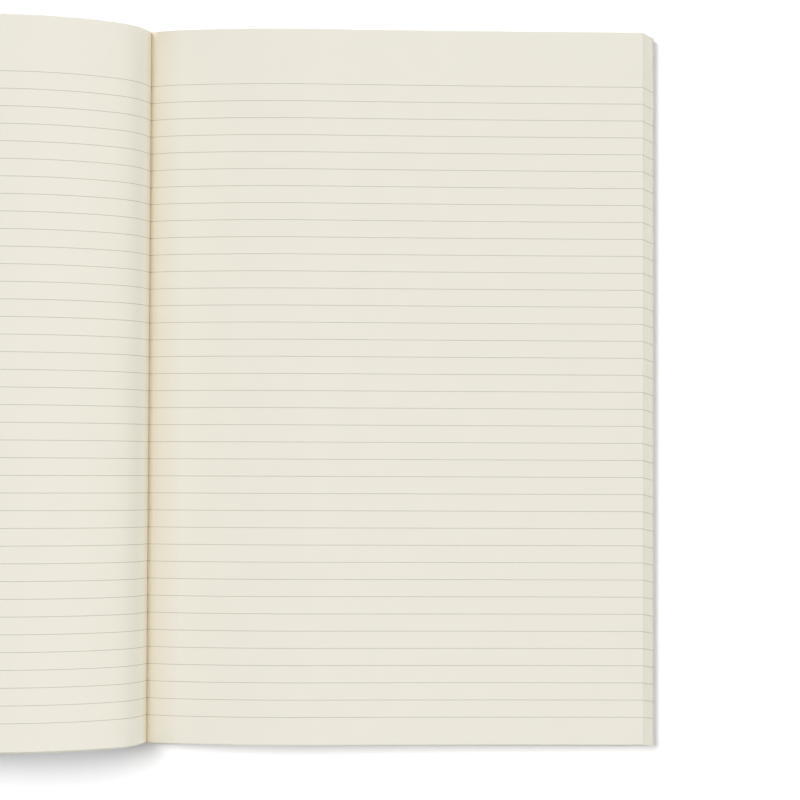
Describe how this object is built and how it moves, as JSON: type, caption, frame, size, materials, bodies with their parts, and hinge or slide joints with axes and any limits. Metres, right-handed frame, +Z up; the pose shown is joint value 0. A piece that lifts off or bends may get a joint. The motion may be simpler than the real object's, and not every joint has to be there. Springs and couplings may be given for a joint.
{
  "type": "open composition notebook",
  "caption": "Open ruled notebook: leaves arched on the left and flat on the right, card covers and cloth tape round the spine.",
  "frame": {"origin": "on the table, at the middle of the open notebook's box", "axes": "+X across the pages to the right, +Y up the page, +Z up from the table"},
  "size_m": [0.3394, 0.252, 0.0393],
  "materials": {
    "leaves": "uncoated cream paper",
    "thread": "waxed white thread",
    "lining": "open glued cloth",
    "tape": "black book cloth",
    "cover_card": "matte dark card"
  },
  "bodies": {
    "leaves": {"text_block": "leaves", "sewing_thread": "thread", "spine_lining": "lining", "spine_tape": "tape"},
    "front_card": {"front_cover": "cover_card"},
    "back_card": {"back_cover": "cover_card"}
  },
  "joints": [
    {"name": "front_cover_turn", "type": "hinge", "parent": "leaves", "child": "front_card", "pos_m": [-0.01326, 0, 0.00794], "axis": [0, -1, 0], "range_deg": [0, 85], "deforming": ["spine_tape"]},
    {"name": "back_cover_turn", "type": "hinge", "parent": "leaves", "child": "back_card", "pos_m": [-0.00933, 0, 0.0007], "axis": [0, 1, 0], "range_deg": [0, 85], "deforming": ["spine_tape"]}
  ]
}
